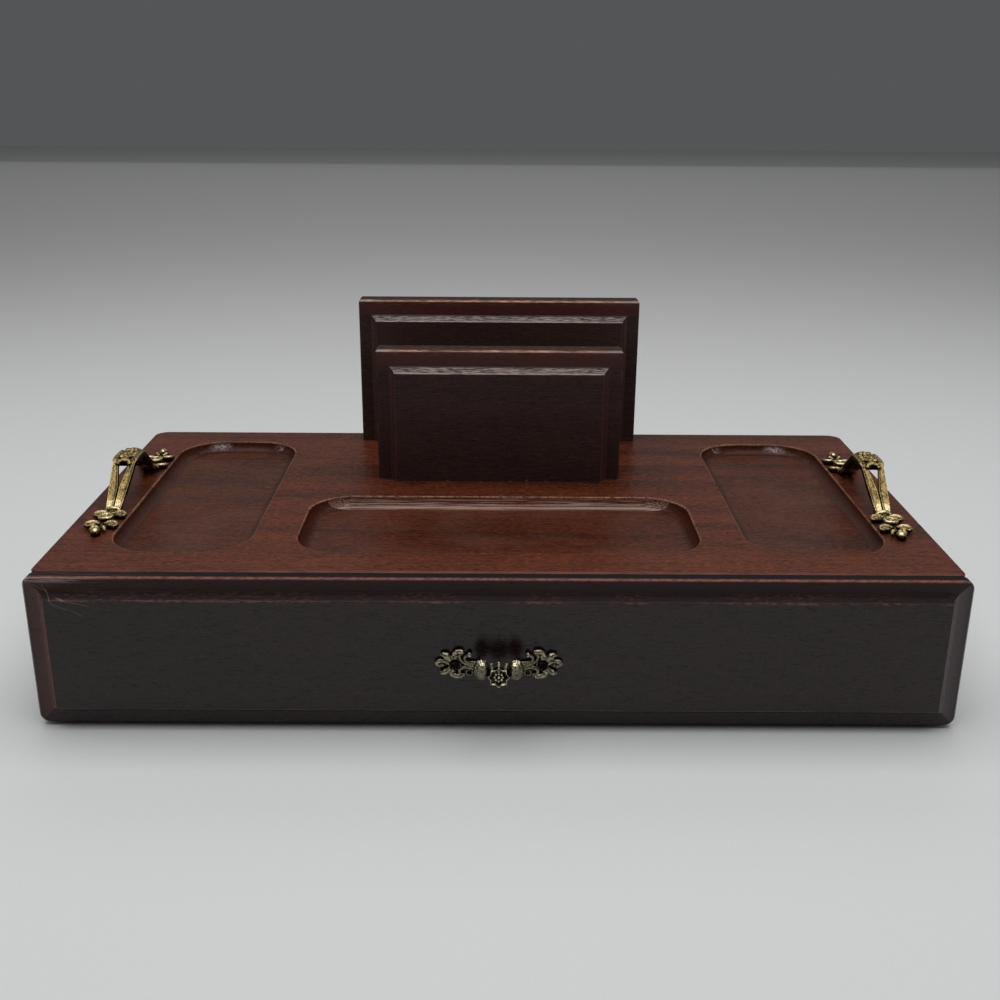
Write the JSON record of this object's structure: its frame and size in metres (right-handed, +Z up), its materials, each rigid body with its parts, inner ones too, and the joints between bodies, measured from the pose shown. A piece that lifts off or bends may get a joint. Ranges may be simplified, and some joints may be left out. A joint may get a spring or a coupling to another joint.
{
  "type": "valet box",
  "caption": "Low dark-stained wooden dresser valet with a full-width drawer, routed trays in its top, an upright letter holder and brass handles.",
  "frame": {"origin": "on the surface the box stands on, under the middle of its overall outline", "axes": "+X to the right seen from the front, +Y from the drawer front to the back, +Z up"},
  "size_m": [0.4096, 0.2339, 0.1554],
  "materials": {
    "stained_top_wood": "satin",
    "stained_dark_wood": "satin",
    "drawer_wood": "matte",
    "drawer_plywood": "matte",
    "drawer_felt": "matte",
    "base_felt_sheet": "matte",
    "antique_brass": "antiqued",
    "screw_steel": "satin"
  },
  "bodies": {
    "case": {"top_panel": "stained_top_wood", "left_side": "stained_dark_wood", "right_side": "stained_dark_wood", "back_panel": "stained_dark_wood", "base_panel": "drawer_plywood", "base_felt": "base_felt_sheet", "drawer_stops": "drawer_wood", "letter_back_board": "stained_dark_wood", "letter_front_board": "stained_dark_wood", "letter_board_screws": "screw_steel", "left_handle": "antique_brass", "right_handle": "antique_brass", "handle_screws": "screw_steel"},
    "drawer": {"drawer_front": "stained_dark_wood", "drawer_inner_front": "drawer_wood", "drawer_left_side": "drawer_wood", "drawer_right_side": "drawer_wood", "drawer_back": "drawer_wood", "drawer_bottom": "drawer_plywood", "drawer_liner": "drawer_felt", "drawer_pull": "antique_brass", "pull_screws": "screw_steel"}
  },
  "joints": [
    {"name": "drawer_slide", "type": "slide", "parent": "case", "child": "drawer", "axis": [0, -1, 0], "range_m": [0, 0.165]}
  ]
}
